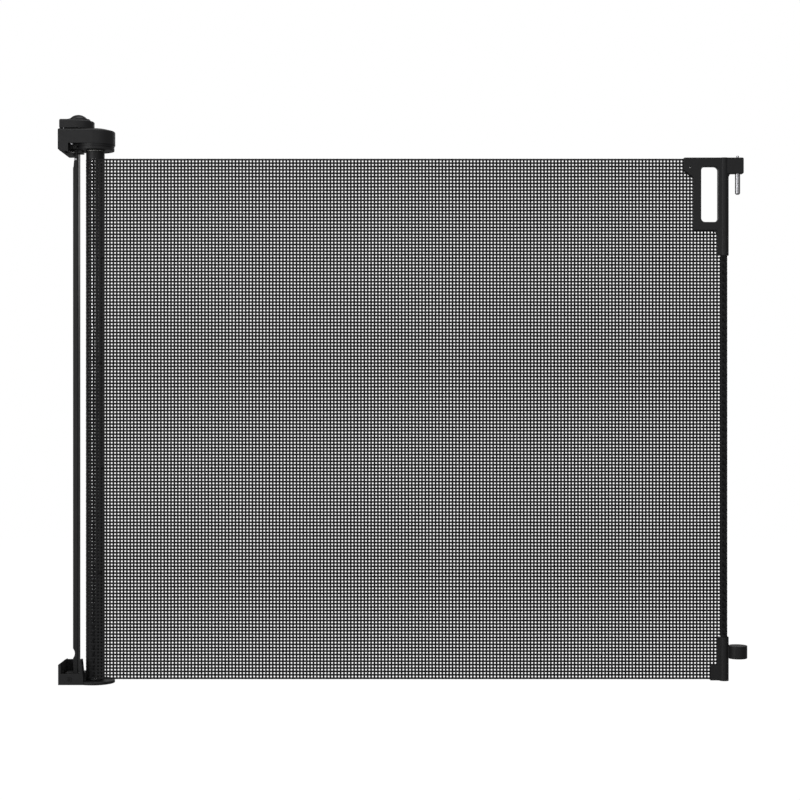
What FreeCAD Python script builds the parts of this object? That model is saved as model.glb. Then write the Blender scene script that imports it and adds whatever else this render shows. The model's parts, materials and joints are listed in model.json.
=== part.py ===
"""A retractable mesh pet gate, drawn out and hooked across a doorway.

X runs across the doorway from the wall, Y away from the viewer and Z up. The sub-parts are
drawn with Z 0 at the gate's lowest edge, and each one's Placement then lowers it by half the
lower bracket, so that the origin is the centre of that bracket's wall face.
"""

import FreeCAD, Part
import math
import os
import re

import Sketcher
from FreeCAD import Vector

DRIVING_SIZES = {
    # Across the doorway
    "reach": 1006.0,
    "roller_offset": 51.5,
    "knob_spacing": 25.5,
    # Cloth
    "cloth_low": 7.1,
    "cloth_tall": 788.4,
    "cloth_thick": 0.7,
    "cloth_clear": 0.3,
    "roll_radius": 14.4,
    "edge_gap": 0.3,
    # Roller
    "tube_radius": 12.5,
    "tube_wall": 1.2,
    "fit_gap": 0.1,
    "run_gap": 0.05,
    "plug_deep": 20.0,
    "plug_flange": 14.0,
    "neck_radius": 8.0,
    "bush_wall": 2.0,
    "bush_flange": 0.8,
    # Wind-up spring on its fixed arbor
    "arbor_radius": 4.0,
    "arbor_tall": 165.0,
    "collar_radius": 6.0,
    "collar_tall": 10.0,
    "coil_radius": 7.2,
    "coil_wire": 0.7,
    "coil_pitch": 6.0,
    # Lower wall bracket
    "bracket_deep": 54.0,
    "bracket_tall": 38.0,
    "bracket_foot": 38.0,
    "bracket_brow": 35.0,
    "bracket_front": 16.7,
    "bracket_wall": 3.0,
    "rear_tall": 31.5,
    "rear_brow": 25.3,
    "rear_end": 28.1,
    "rear_low": 6.0,
    "plate_thick": 4.0,
    "chamfer_across": 13.2,
    "chamfer_down": 7.3,
    "wall_screw_radius": 2.25,
    "wall_screw_spacing": 18.0,
    "bracket_round": 0.8,
    "lock_screw_across": 17.3,
    "lock_screw_up": 8.4,
    "lock_screw_radius": 2.4,
    "lock_head_radius": 3.3,
    "lock_head_deep": 1.8,
    # Foot plate
    "foot_radius": 29.5,
    "foot_thick": 4.5,
    "foot_gap": 0.3,
    "foot_round": 1.0,
    "upstand_deep": 44.0,
    "upstand_thick": 2.1,
    "upstand_tall": 10.7,
    "tongue_start": 8.0,
    "tongue_half": 13.0,
    "tongue_low": 3.3,
    "tongue_tall": 13.0,
    "socket_floor": 8.0,
    "axle_floor": 1.2,
    # Back post
    "post_near": 19.0,
    "post_thick": 8.0,
    "post_half": 10.0,
    "post_fillet": 1.5,
    "hook_notch": 2.3,
    "hook_notch_tall": 26.5,
    "scallop_up": 45.5,
    "scallop_half": 7.5,
    "scallop_deep": 3.0,
    "peg_radius": 1.6,
    "peg_drop": 13.7,
    "post_screw_radius": 1.5,
    "post_screw_head": 2.8,
    "head_tall": 2.0,
    # Head: base, shell, cap and knob
    "head_gap": 13.5,
    "base_radius": 28.8,
    "base_tall": 8.5,
    "base_groove": 1.0,
    "base_round": 0.8,
    "bridge_half": 16.0,
    "lid_thick": 2.5,
    "shell_radius": 30.0,
    "shell_tall": 24.0,
    "shell_wall": 2.4,
    "shell_slope": 13.0,
    "shell_fall": 3.2,
    "shell_round": 2.5,
    "skirt_wide": 15.4,
    "skirt_tall": 12.5,
    "skirt_bevel": 3.5,
    "boss_radius": 3.2,
    "boss_ring": 22.0,
    "head_screw_radius": 1.5,
    "head_screw_head": 2.8,
    "head_screw_long": 12.0,
    "cap_radius": "=knob_radius + 9.0",
    "cap_start": 1.0,
    "cap_tall": 14.0,
    "cap_wall": 2.2,
    "cap_slope": 7.0,
    "cap_fall": 2.6,
    "cap_round": 1.5,
    "cap_boss": 3.0,
    "knob_radius": 15.0,
    "knob_rise": 8.5,
    "knob_skirt": 6.0,
    "knob_gap": 0.6,
    "ring_wide": 1.8,
    "ring_tall": 1.3,
    "spindle_radius": 4.0,
    "press_travel": 4.0,
    "cup_radius": 13.0,
    "cup_deep": 8.0,
    "cup_wall": 1.8,
    "washer_thick": 1.6,
    "press_coil_radius": 8.2,
    "press_coil_wire": 0.6,
    # Ratchet lock
    "ratchet_radius": 18.0,
    "ratchet_root": 15.5,
    "ratchet_thick": 5.0,
    "ratchet_lift": 0.7,
    "ratchet_tooth": 30.0,
    "drive_half": 4.0,
    "pitch_radius": 17.5,
    "catch_angle": 220.0,
    "pawl_long": 14.0,
    "pawl_tail": 4.5,
    "pawl_thick": 7.0,
    "pawl_boss": 4.2,
    "pawl_inner": 1.2,
    "pawl_outer": 5.2,
    "pawl_swing": 12.0,
    "pawl_pin_radius": 2.0,
    "cam_hub": 6.5,
    "cam_nose": 2.0,
    "cam_thick": 7.5,
    "cam_turn": 90.0,
    "cam_gap": 0.4,
    # Upper wall bracket
    "hanger_thick": 3.5,
    "hanger_half": 24.0,
    "hanger_rise": 11.0,
    "hanger_drop": 8.0,
    "hanger_shelf": 3.5,
    "hanger_reach": 20.8,
    "hanger_arm": 15.0,
    # Pull bar and its hem
    "bar_radius": 4.5,
    "hem_radius": 5.35,
    "hem_overlap": 6.6,
    "bore_radius": 5.5,
    # Handle
    "column_radius": 7.2,
    "handle_half": 6.0,
    "handle_low": 648.8,
    "flange_left": "=reach - 10.8",
    "grip_low": 686.4,
    "grip_left": "=reach - 47.2",
    "ear_left": "=reach - 61.7",
    "ear_low": 777.9,
    "ear_foot": 766.3,
    "handle_top": 796.6,
    "slot_left": "=reach - 35.1",
    "slot_right": "=reach - 9.4",
    "slot_low": 699.2,
    "slot_top": 782.9,
    "slot_round": 6.0,
    "hook_right": "=reach + 29.2",
    "hook_low": 772.3,
    "hook_fillet": 4.0,
    "grip_fillet": 6.0,
    "handle_round": 1.2,
    "ear_round": 2.0,
    "lanyard_radius": 1.5,
    # Hook pin
    "pin_across": "=reach + 20.7",
    "pin_radius": 3.9,
    "pin_low": 741.0,
    "pin_round": 1.6,
    "pin_step": 0.2,
    "pin_collar": 5.0,
    "tip_radius": 2.0,
    "tip_top": 799.9,
    # Lower fitting
    "fitting_low": 5.2,
    "fitting_top": 71.4,
    "leg_left": "=reach - 20.8",
    "leg_low": 6.0,
    "leg_top": 29.1,
    "leg_half": 5.0,
    "lug_radius": 14.5,
    "lug_low": 38.9,
    "lug_tall": 19.2,
    "lug_round": 1.2,
    "clamp_screw_radius": 1.5,
    "clamp_screw_head": 2.7,
}

PANELS = 11
RATCHET_TEETH = 12
RADIAL_SPOT = 40.0
XY, XZ, YZ = "XY_Plane", "XZ_Plane", "YZ_Plane"

# Levels and places worked out from the driving sizes, as words for the sheet's expressions
CLOTH_TOP = "(cloth_low + cloth_tall)"
BASE_LOW = f"({CLOTH_TOP} + head_gap)"
SHELL_LOW = f"({BASE_LOW} + base_tall)"
LID_TOP = f"({SHELL_LOW} + lid_thick)"
SHELL_TOP = f"({SHELL_LOW} + shell_tall)"
CEILING = f"({SHELL_TOP} - shell_wall)"
CAP_TOP = f"({SHELL_TOP} + cap_tall)"
KNOB_LOW = f"({CAP_TOP} - knob_skirt)"
KNOB_X = "(roller_offset - knob_spacing)"
CUP_FLOOR = f"({SHELL_TOP} - cup_deep)"
WASHER_LOW = f"({KNOB_LOW} - 3 * fit_gap - washer_thick)"
RATCHET_LOW = f"({LID_TOP} + ratchet_lift)"
RATCHET_TOP = f"({RATCHET_LOW} + ratchet_thick)"
CAM_LOW = f"({LID_TOP} + press_travel + 1.2)"
POST_FAR = "(post_near + post_thick)"
POST_TOP = f"({SHELL_LOW} - 2)"
FOOT_START = "(bracket_foot + foot_gap)"
TONGUE_TOP = "(tongue_low + tongue_tall)"
CLOTH_Y = "-(roll_radius + cloth_clear + cloth_thick / 2)"
CLOTH_START = "(roller_offset + cloth_clear)"
CLOTH_END = "(reach - bar_radius - hem_overlap - cloth_clear)"
PANEL_WIDE = f"(({CLOTH_END} - {CLOTH_START}) / {PANELS})"
TUBE_LOW = "(cloth_low - fit_gap)"
TUBE_TOP = f"({CLOTH_TOP} + fit_gap)"
TUBE_BORE = "(tube_radius - tube_wall)"
BUSH_RADIUS = "(arbor_radius + run_gap + bush_wall)"
PAWL_X = "(roller_offset + pitch_radius * cos(catch_angle) - pawl_long * sin(catch_angle))"
PAWL_Y = "(pitch_radius * sin(catch_angle) + pawl_long * cos(catch_angle))"
HANGER_LOW = f"({BASE_LOW} - hanger_drop)"

doc = FreeCAD.newDocument("PetGate")
sizes = doc.addObject("Spreadsheet::Sheet", "Sizes")
for row, (alias, number) in enumerate(DRIVING_SIZES.items(), start=1):
    sizes.set(f"A{row}", alias)
    sizes.set(f"B{row}", str(number))
    sizes.setAlias(f"B{row}", alias)
doc.recompute()
sub_parts = []


def bound(text):
    """An expression whose plain words are written as the sheet's cells."""
    cell = lambda word: f"Sizes.{word[0]}" if word[0] in DRIVING_SIZES else word[0]
    return re.sub(r"[a-z][a-z_]+", cell, str(text))


def size(text):
    """The number that an expression comes to."""
    found = sizes.evalExpression(bound(text))
    return float(getattr(found, "Value", found))


def spot(across, up):
    """A point of a sketch, from two expressions."""
    return Vector(size(across), size(up), 0)


def lowered(piece):
    """Ties a sub-part's Placement to the gate's origin and keeps the sub-part for export."""
    piece.setExpression("Placement.Base.z", bound("-bracket_tall / 2"))
    sub_parts.append(piece)
    return piece


def new_body(label):
    """An empty body for one sub-part."""
    body = doc.addObject("PartDesign::Body", label)
    body.Label = label
    return lowered(body)


def hold(sketch, kind, *place, text):
    """Adds a size constraint and ties it to the sheet."""
    number = sketch.addConstraint(Sketcher.Constraint(kind, *place, size(text)))
    sketch.setExpression(f"Constraints[{number}]", bound(text))


def add_edge(sketch, start, end, middle=None):
    """Adds a line, or the shorter arc about `middle`; returns its number and which of its ends come
    first and last along the outline."""
    if middle is None:
        return sketch.addGeometry(Part.LineSegment(start, end)), (1, 2)
    from_middle, to_middle = start - middle, end - middle
    lean = from_middle + to_middle
    via = middle + lean * (from_middle.Length / lean.Length)
    if from_middle.cross(to_middle).z > 0:
        return sketch.addGeometry(Part.Arc(start, via, end)), (1, 2)
    return sketch.addGeometry(Part.Arc(end, via, start)), (2, 1)


def outline(*points, bows=None):
    """Draws a closed outline, each corner held by its two distances.

    `bows` gives, for the number of a corner, the centre and radius of an arc that runs from that
    corner to the next one in place of the straight line.
    """
    bows = bows or {}

    def draw(sketch):
        corners = [spot(*point) for point in points]
        edges = []
        for step, start in enumerate(corners):
            middle = spot(*bows[step][:2]) if step in bows else None
            edges.append(add_edge(sketch, start, corners[(step + 1) % len(corners)], middle))
        for step, (edge, (first, last)) in enumerate(edges):
            following, (start, _) = edges[(step + 1) % len(edges)]
            sketch.addConstraint(Sketcher.Constraint("Coincident", edge, last, following, start))
            hold(sketch, "DistanceX", -1, 1, edge, first, text=points[step][0])
            hold(sketch, "DistanceY", -1, 1, edge, first, text=points[step][1])
            if step in bows:
                hold(sketch, "Radius", edge, text=bows[step][2])

    return draw


def rectangle(left, low, right, top):
    """Draws a rectangle between two corners."""
    return outline((left, low), (right, low), (right, top), (left, top))


def circle(across, up, radius):
    """Draws a circle about a point."""

    def draw(sketch):
        edge = sketch.addGeometry(Part.Circle(spot(across, up), Vector(0, 0, 1), size(radius)))
        hold(sketch, "DistanceX", -1, 1, edge, 3, text=across)
        hold(sketch, "DistanceY", -1, 1, edge, 3, text=up)
        hold(sketch, "Radius", edge, text=radius)

    return draw


def together(*shapes):
    """Draws several closed shapes in one sketch."""

    def draw(sketch):
        for shape in shapes:
            shape(sketch)

    return draw


def new_sketch(body, plane, level="0", centre=("0", "0"), turn=None):
    """A sketch on one of the body's origin planes, offset along it and about `centre`."""
    sketch = body.newObject("Sketcher::SketchObject", f"{body.Label}_sketch")
    origin = next(item for item in body.Origin.OriginFeatures if item.Role == plane)
    sketch.AttachmentSupport = [(origin, "")]
    sketch.MapMode = "FlatFace"
    for axis, text in zip("xyz", (*centre, level)):
        sketch.setExpression(f"AttachmentOffset.Base.{axis}", bound(text))
    if turn is not None:
        sketch.setExpression("AttachmentOffset.Rotation.Angle", bound(turn))
    return sketch


def prism(body, kind, plane, draw, span, **place):
    """Adds (Pad) or cuts (Pocket) a straight prism between the two levels of `span`."""
    start, end = span
    backwards = plane == XZ
    sketch = new_sketch(body, plane, f"-({start})" if backwards else start, **place)
    draw(sketch)
    before = body.Shape.Volume if body.Tip else 0.0
    made = body.newObject(f"PartDesign::{kind}", f"{body.Label}_{kind.lower()}")
    made.Profile = sketch
    made.Reversed = backwards if kind == "Pad" else not backwards
    made.setExpression("Length", bound(f"({end}) - ({start})"))
    doc.recompute()
    grown = body.Shape.Volume - before
    if (grown <= 0) if kind == "Pad" else (grown >= 0):
        raise ValueError(f"{made.Name} changed nothing: its direction or place is wrong")
    return made


def turned(body, kind, draw, centre=("0", "0"), angle=360):
    """Adds (Revolution) or cuts (Groove) a solid turned about a vertical axis, evenly about +X."""
    across, back = centre
    sketch = new_sketch(body, XZ, f"-({back})", centre=(across, "0"))
    draw(sketch)
    made = body.newObject(f"PartDesign::{kind}", f"{body.Label}_{kind.lower()}")
    made.Profile = sketch
    made.ReferenceAxis = (sketch, ["V_Axis"])
    made.Midplane = True
    made.Angle = angle
    doc.recompute()
    return made


def dressed(body, kind, wanted, **expressions):
    """Puts a Fillet or Chamfer on the edges that `wanted` accepts."""
    tip = body.Tip
    edges = enumerate(tip.Shape.Edges, start=1)
    names = [f"Edge{number}" for number, edge in edges if wanted(edge.BoundBox)]
    made = body.newObject(f"PartDesign::{kind}", f"{body.Label}_{kind.lower()}")
    made.Base = (tip, names)
    for name, text in expressions.items():
        made.setExpression(name, bound(text))
    return made


def flat_at(level):
    """Accepts edges that lie wholly at one height."""
    height = size(level)
    return lambda box: box.ZLength < 0.01 and abs(box.ZMin - height) < 0.01


def upright(*places):
    """Accepts vertical edges that stand at one of the given places."""
    stands = [(size(across), size(back)) for across, back in places]

    def wanted(box):
        if box.XLength > 0.01 or box.YLength > 0.01:
            return False
        return any(abs(box.XMin - x) < 0.01 and abs(box.YMin - y) < 0.01 for x, y in stands)

    return wanted


def across_y(*places):
    """Accepts edges along Y that pass through one of the given points of the front view."""
    spots = [(size(across), size(up)) for across, up in places]

    def wanted(box):
        if box.XLength > 0.01 or box.ZLength > 0.01:
            return False
        return any(abs(box.XMin - x) < 0.01 and abs(box.ZMin - z) < 0.01 for x, z in spots)

    return wanted


def rod(label, across, back, radius, low, top, bore=None):
    """A plain rod, tube or bush about a vertical axis."""
    body = new_body(label)
    rings = [circle(across, back, radius)] + ([circle(across, back, bore)] if bore else [])
    prism(body, "Pad", XY, together(*rings), (low, top))
    return body


def rounded_plan(body, kind, start, centre, radius, low, top):
    """A D-shaped prism in plan: square at the wall and round about `centre`."""
    prism(body, kind, XY, rectangle(start, f"-({radius})", centre, radius), (low, top))
    prism(body, kind, XY, circle(centre, "0", radius), (low, top))


def crowned_plan(body, start, centre, radius, low, top, slope):
    """A D-shaped cover, square at the wall: its top slopes down to the rim, whose edge is round.

    `slope` holds how far the top slopes across and down, and the radius of the rim's edge.
    """
    across, down, edge = slope
    run = f"sqrt(({across})^2 + ({down})^2)"
    cut = f"({edge} / tan((90 + atan({down} / {across}) / 1deg) / 2))"
    side = f"({top} - {down} - {cut})"
    lip = (f"{radius} - {across} * {cut} / {run}", f"{top} - {down} + {down} * {cut} / {run}")
    brow = f"({radius} - {across})"
    middle = f"({radius} - {edge})"
    half = [("0", low), (radius, low), (radius, side), lip, (brow, top), ("0", top)]
    turned(body, "Revolution", outline(*half, bows={2: (middle, side, edge)}), centre=(centre, "0"),
           angle=180)
    mirrored = [(f"-({out})", up) for out, up in reversed(half[1:5])]
    whole = half[1:5] + mirrored
    bows = {1: (middle, side, edge), 5: (f"-{middle}", side, edge)}
    prism(body, "Pad", YZ, outline(*whole, bows=bows), (start, centre))


def screw_set(label, axis, screws):
    """Identical screws as one sub-part: `screws` holds (x, y, z) of each head's outer face.

    `axis` is the way the shank points, and each screw has its own head and shank sizes.
    """
    solids = []
    for place, head, head_tall, shank, long in screws:
        top = Vector(*[size(text) for text in place])
        cap = Part.makeCylinder(size(head), size(head_tall), top, axis)
        stem = Part.makeCylinder(size(shank), size(long) + size(head_tall), top, axis)
        socket = Part.makeCylinder(size(shank) * 0.7, size(head_tall) * 0.6, top, axis)
        solids.append(cap.fuse(stem).cut(socket).removeSplitter())
    piece = doc.addObject("Part::Feature", label)
    piece.Label = label
    piece.Shape = Part.makeCompound(solids)
    return lowered(piece)


def coil(label, centre, radius, wire, pitch, low, top):
    """A coil spring about a vertical axis; its wire is drawn with eight flats."""
    across, back = centre
    start = Vector(size(across), size(back), size(low))
    helix = Part.makeHelix(size(pitch), size(top) - size(low), size(radius))
    helix.translate(start)
    first = start + Vector(size(radius), 0, 0)
    turns = [math.radians(45 * corner + 22.5) for corner in range(8)]
    corners = [first + Vector(math.cos(turn), 0, math.sin(turn)) * size(wire) for turn in turns]
    section = Part.makePolygon(corners + corners[:1])
    sweep = Part.BRepOffsetAPI.MakePipeShell(Part.Wire(helix.Edges))
    sweep.setFrenetMode(True)
    sweep.add(section)
    sweep.build()
    sweep.makeSolid()
    piece = doc.addObject("Part::Feature", label)
    piece.Label = label
    piece.Shape = Part.Solid(sweep.shape())
    return lowered(piece)


# ---------------------------------------------------------------- wall brackets and post


def make_lower_wall_bracket():
    """An open moulded box on the wall that the foot plate's tongue slides into."""
    body = new_body("lower_wall_bracket")
    half = "bracket_deep / 2"
    profile = outline(
        ("0", "0"),
        ("bracket_foot", "0"),
        ("bracket_foot", "upstand_tall"),
        ("bracket_brow", "bracket_tall"),
        ("chamfer_across", "bracket_tall"),
        ("0", "bracket_tall - chamfer_down"),
    )
    prism(body, "Pad", XZ, profile, (f"-{half}", half))
    ends = size(half)
    faces = lambda box: box.YLength < 0.01 and abs(abs(box.YMin) - ends) < 0.01 and box.XMax > 0.01
    dressed(body, "Fillet", faces, Radius="bracket_round")
    doc.recompute()
    inner = "bracket_brow - bracket_wall"
    side = f"{half} - bracket_wall"
    cavity = rectangle("plate_thick", f"-({side})", inner, side)
    prism(body, "Pocket", XY, cavity, ("bracket_wall", "bracket_tall + 1"))
    window = rectangle("plate_thick", "bracket_front", inner, "bracket_tall + 1")
    prism(body, "Pocket", XZ, window, (f"-{half} - 1", f"-{half} + bracket_wall + 0.5"))
    side_gap = "tongue_half + fit_gap"
    gate = rectangle(f"-({side_gap})", "bracket_wall", side_gap, "bracket_tall + 1")
    prism(body, "Pocket", YZ, gate, ("bracket_brow - bracket_wall - 1", "bracket_foot + 1"))
    behind = outline(
        ("plate_thick", "bracket_tall + 1"),
        ("plate_thick", "rear_tall"),
        ("rear_brow", "rear_tall"),
        ("rear_end", "rear_low"),
        ("bracket_foot + 1", "rear_low"),
        ("bracket_foot + 1", "bracket_tall + 1"),
    )
    prism(body, "Pocket", XZ, behind, (side_gap, f"{half} + 1"))
    spread = "wall_screw_spacing / 2"
    height = "bracket_tall / 2"
    screws = together(
        circle(spread, height, "wall_screw_radius"),
        circle(f"-{spread}", height, "wall_screw_radius"),
    )
    prism(body, "Pocket", YZ, screws, ("-1", "plate_thick + 1"))
    place = ("lock_screw_across", "lock_screw_up")
    hole = circle(*place, "lock_screw_radius + fit_gap")
    prism(body, "Pocket", XZ, hole, (f"-{half} - 1", f"-{half} + bracket_wall + 1"))
    sink = circle(*place, "lock_head_radius + 4 * fit_gap")
    prism(body, "Pocket", XZ, sink, (f"-{half} - 1", f"-{half} + lock_head_deep"))


def make_bracket_lock_screw():
    """The screw in the bracket's front that holds the gate's foot down."""
    face = "-bracket_deep / 2 - 0.4"
    long = "bracket_deep / 2 - tongue_half - lock_head_deep - fit_gap"
    screw = (
        ("lock_screw_across", face, "lock_screw_up"),
        "lock_head_radius",
        "lock_head_deep + 0.4",
        "lock_screw_radius",
        long,
    )
    screw_set("bracket_lock_screw", Vector(0, 1, 0), [screw])


def make_upper_wall_bracket():
    """The hanger on the wall: a plate behind the head, and a shelf that hooks the post."""
    body = new_body("upper_wall_bracket")
    plate_low = f"{BASE_LOW} + 2.5"
    plate_top = f"{SHELL_LOW} + hanger_rise + 6"
    plate = rectangle("0", "-hanger_half", "hanger_thick", "hanger_half")
    prism(body, "Pad", XY, plate, (plate_low, plate_top))
    arm = outline(
        ("0", f"{plate_low} + 8"),
        ("0", f"{BASE_LOW} - 1"),
        ("9", HANGER_LOW),
        ("hanger_reach", HANGER_LOW),
        ("hanger_reach", f"{HANGER_LOW} + hanger_shelf"),
        ("hanger_thick + 5.5", f"{HANGER_LOW} + hanger_shelf"),
        ("hanger_thick", f"{plate_low} + 2"),
        ("hanger_thick", f"{plate_low} + 8"),
    )
    prism(body, "Pad", XZ, arm, ("-hanger_arm", "hanger_arm"))
    spread = "wall_screw_spacing / 2 + 3"
    height = f"{SHELL_LOW} + hanger_rise - 3"
    screws = together(
        circle(spread, height, "wall_screw_radius"),
        circle(f"-({spread})", height, "wall_screw_radius"),
    )
    prism(body, "Pocket", YZ, screws, ("-1", "hanger_thick + 1"))


def make_back_post():
    """The flat bar behind the roller that joins the foot plate to the head."""
    body = new_body("back_post")
    section = rectangle("post_near", "-post_half", POST_FAR, "post_half")
    prism(body, "Pad", XY, section, ("socket_floor", POST_TOP))
    corners = upright(
        ("post_near", "-post_half"), ("post_near", "post_half"),
        (POST_FAR, "-post_half"), (POST_FAR, "post_half"),
    )
    dressed(body, "Fillet", corners, Radius="post_fillet")
    doc.recompute()
    notch_low = f"{BASE_LOW} - hook_notch_tall"
    notch = outline(
        ("post_near - 1", notch_low),
        ("post_near + hook_notch * 0.4", f"{notch_low} + 1"),
        ("post_near + hook_notch * 0.7", f"{notch_low} + 9"),
        ("post_near + hook_notch", f"{notch_low} + 12"),
        ("post_near + hook_notch", f"{notch_low} + hook_notch_tall"),
        ("post_near - 1", f"{notch_low} + hook_notch_tall"),
    )
    prism(body, "Pocket", XZ, notch, ("-post_half - 1", "post_half + 1"))
    bend = "((scallop_half^2 + scallop_deep^2) / (2 * scallop_deep))"
    scallop = circle(f"post_near + scallop_deep - {bend}", "scallop_up", bend)
    prism(body, "Pocket", XZ, scallop, ("-post_half - 1", "post_half + 1"))
    middle = "post_near + post_thick / 2"
    holes = together(
        circle(middle, f"{BASE_LOW} + base_tall / 2", "post_screw_radius"),
        circle(middle, "socket_floor + 4.5", "post_screw_radius"),
        circle("post_near + post_thick * 0.55", f"{BASE_LOW} - peg_drop", "peg_radius"),
    )
    prism(body, "Pocket", XZ, holes, ("-post_half - 1", "post_half + 1"))


def make_hook_peg():
    """The steel cross pin in the post's upper notch."""
    body = new_body("hook_peg")
    peg = circle("post_near + post_thick * 0.55", f"{BASE_LOW} - peg_drop", "peg_radius")
    prism(body, "Pad", XZ, peg, ("-post_half - 0.6", "post_half + 0.6"))


def make_post_screws():
    """The two cross screws that hold the post in the foot plate and the head."""
    middle = "post_near + post_thick / 2"
    sizes_of = ("post_screw_head", "head_tall", "post_screw_radius")
    lower = ((middle, "-tongue_half - head_tall", "socket_floor + 4.5"), *sizes_of, "2 * tongue_half")
    upper_place = (middle, "-bridge_half - head_tall", f"{BASE_LOW} + base_tall / 2")
    upper = (upper_place, *sizes_of, "2 * bridge_half")
    screw_set("post_screws", Vector(0, 1, 0), [lower, upper])


# ---------------------------------------------------------------- foot plate and wind-up spring


def make_foot_plate():
    """The round plate under the roller, with the tongue that enters the lower bracket."""
    body = new_body("foot_plate")
    prism(body, "Pad", XY, circle("roller_offset", "0", "foot_radius"), ("0", "foot_thick"))
    dressed(body, "Fillet", flat_at("foot_thick"), Radius="foot_round")
    doc.recompute()
    behind = rectangle("roller_offset - foot_radius - 1", "-foot_radius - 1", FOOT_START, "foot_radius + 1")
    prism(body, "Pocket", XY, behind, ("-1", "foot_thick + 1"))
    rise = rectangle(FOOT_START, "-upstand_deep / 2", f"{FOOT_START} + upstand_thick", "upstand_deep / 2")
    prism(body, "Pad", XY, rise, ("0", "upstand_tall"))
    tongue = rectangle("tongue_start", "-tongue_half", f"{FOOT_START} + upstand_thick", "tongue_half")
    prism(body, "Pad", XY, tongue, ("tongue_low", f"{TONGUE_TOP} - fit_gap"))
    clearance = circle("roller_offset", "0", "roll_radius + 1")
    prism(body, "Pocket", XY, clearance, ("foot_thick", f"{TONGUE_TOP} + 1"))
    socket = rectangle(
        "post_near - fit_gap", "-post_half - fit_gap", f"{POST_FAR} + fit_gap", "post_half + fit_gap"
    )
    prism(body, "Pocket", XY, socket, ("socket_floor", f"{TONGUE_TOP} + 1"))
    middle = "post_near + post_thick / 2"
    cross = circle(middle, "socket_floor + 4.5", "post_screw_radius")
    prism(body, "Pocket", XZ, cross, ("-tongue_half - 1", "tongue_half + 1"))
    seat = circle("roller_offset", "0", "arbor_radius")
    prism(body, "Pocket", XY, seat, ("axle_floor", "foot_thick + 1"))


def make_wind_up_spring():
    """The fixed arbor that the roller turns on, its collar and the spring that winds the cloth."""
    body = rod("spring_arbor", "roller_offset", "0", "arbor_radius", "axle_floor", "arbor_tall")
    dressed(body, "Chamfer", flat_at("arbor_tall"), Size="5 * fit_gap")
    low = "arbor_tall - collar_tall - 3"
    rod("arbor_collar", "roller_offset", "0", "collar_radius", low, f"{low} + collar_tall", "arbor_radius")
    foot = f"{TUBE_LOW} + plug_deep + 2"
    top = f"{low} - coil_wire - 1"
    coil("torsion_spring", ("roller_offset", "0"), "coil_radius", "coil_wire", "coil_pitch", foot, top)


# ---------------------------------------------------------------- roller


def make_roller():
    """The tube with its two plugs, the lower bush and the cloth wound on it."""
    axis = ("roller_offset", "0")
    rod("roller_tube", *axis, "tube_radius", TUBE_LOW, TUBE_TOP, TUBE_BORE)
    rod("mesh_roll", *axis, "roll_radius", "cloth_low", CLOTH_TOP, "tube_radius + fit_gap")

    low = "foot_thick + edge_gap + bush_flange"
    lower = rod("bottom_plug", *axis, "plug_flange - 0.4", low, TUBE_LOW)
    spigot = circle(*axis, f"{TUBE_BORE} - fit_gap")
    prism(lower, "Pad", XY, spigot, (TUBE_LOW, f"{TUBE_LOW} + plug_deep"))
    prism(lower, "Pocket", XY, circle(*axis, BUSH_RADIUS), (f"{low} - 1", f"{TUBE_LOW} + plug_deep + 1"))

    bush = rod("bottom_bush", *axis, f"{BUSH_RADIUS} + 2", "foot_thick + edge_gap", low)
    prism(bush, "Pad", XY, circle(*axis, BUSH_RADIUS), (low, f"{TUBE_LOW} + plug_deep"))
    bore = circle(*axis, "arbor_radius + run_gap")
    prism(bush, "Pocket", XY, bore, ("foot_thick", f"{TUBE_LOW} + plug_deep + 1"))

    upper = rod("top_plug", *axis, f"{TUBE_BORE} - fit_gap", f"{TUBE_TOP} - plug_deep", TUBE_TOP)
    shoulder = f"{BASE_LOW} - bush_flange - fit_gap"
    prism(upper, "Pad", XY, circle(*axis, "plug_flange"), (TUBE_TOP, shoulder))
    prism(upper, "Pad", XY, circle(*axis, "neck_radius"), (shoulder, RATCHET_LOW))
    drive = rectangle("-drive_half", "-drive_half", "drive_half", "drive_half")
    prism(upper, "Pad", XY, drive, (RATCHET_LOW, RATCHET_TOP), centre=axis)
    tapped = circle(*axis, "pawl_pin_radius")
    prism(upper, "Pocket", XY, tapped, (f"{RATCHET_LOW} - 8", f"{RATCHET_TOP} + 1"))


def make_ratchet_wheel():
    """The toothed wheel on top of the roller; each tooth's steep face stops the cloth going out."""
    body = rod("ratchet_wheel", "roller_offset", "0", "ratchet_radius", RATCHET_LOW, RATCHET_TOP)
    beyond = "(ratchet_radius + 2)"
    land = "(ratchet_tooth * 0.9)"
    gap = outline(
        ("ratchet_root", "0"),
        (beyond, "0"),
        (f"{beyond} * cos({land})", f"{beyond} * sin({land})"),
        (f"ratchet_radius * cos({land})", f"ratchet_radius * sin({land})"),
    )
    axis = ("roller_offset", "0")
    span = (f"{RATCHET_LOW} - 1", f"{RATCHET_TOP} + 1")
    cut = prism(body, "Pocket", XY, gap, span, centre=axis, turn="catch_angle")
    ring = body.newObject("PartDesign::PolarPattern", "ratchet_teeth")
    ring.Originals = [cut]
    ring.Axis = (cut.Profile[0], ["N_Axis"])
    ring.Angle = 360.0
    ring.Occurrences = RATCHET_TEETH
    body.Tip = ring
    doc.recompute()
    hole = "drive_half + fit_gap / 2"
    bore = rectangle(f"-({hole})", f"-({hole})", hole, hole)
    prism(body, "Pocket", XY, bore, span, centre=axis)


def make_ratchet_screw():
    """The screw that holds the ratchet wheel on the roller."""
    long = "ratchet_thick + 6"
    place = ("roller_offset", "0", f"{RATCHET_TOP} + head_tall + fit_gap / 2")
    screw = (place, "drive_half + 2.4", "head_tall", "pawl_pin_radius - fit_gap / 2", long)
    screw_set("ratchet_screw", Vector(0, 0, -1), [screw])


# ---------------------------------------------------------------- head


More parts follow.
